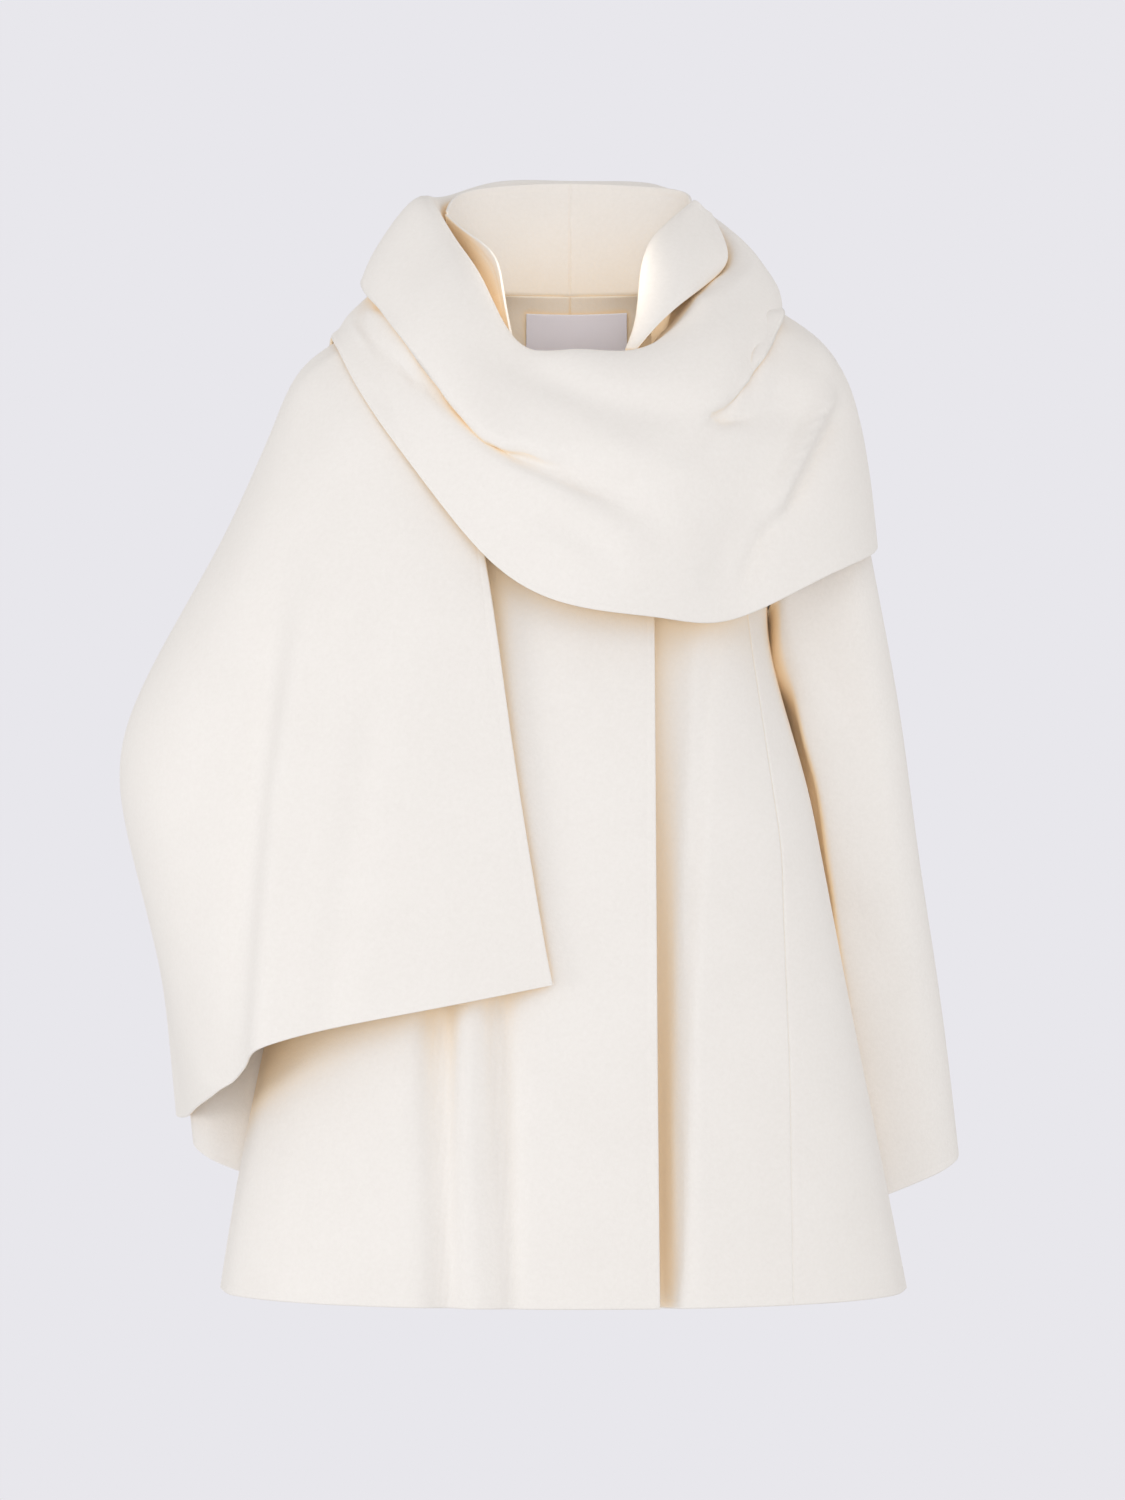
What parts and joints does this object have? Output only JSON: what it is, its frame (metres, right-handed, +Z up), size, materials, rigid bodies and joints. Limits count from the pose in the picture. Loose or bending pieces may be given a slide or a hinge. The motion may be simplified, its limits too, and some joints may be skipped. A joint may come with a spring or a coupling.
{
  "type": "hooded cape",
  "caption": "Filled-out wool coat with a cape panel over one arm, two sleeves, a turned-down collar and a hood let down as a wide cowl.",
  "frame": {"origin": "middle of the neck opening at the level of its back edge, where the wearer's neck and shoulders hold the garment", "axes": "+Z up, the front faces -Y, +X is the wearer's left"},
  "size_m": [0.6637, 0.3607, 0.8791],
  "materials": {
    "wool": "brushed double-faced wool",
    "label": "woven satin"
  },
  "bodies": {
    "root": {"front_right": "wool", "front_left": "wool", "side_left": "wool", "back_right": "wool", "back_left": "wool", "sleeve_left": "wool", "sleeve_right": "wool", "cape_panel": "wool", "collar_back": "wool", "collar_front_left": "wool", "collar_front_right": "wool", "hood_cowl": "wool", "neck_label": "label"}
  },
  "joints": []
}
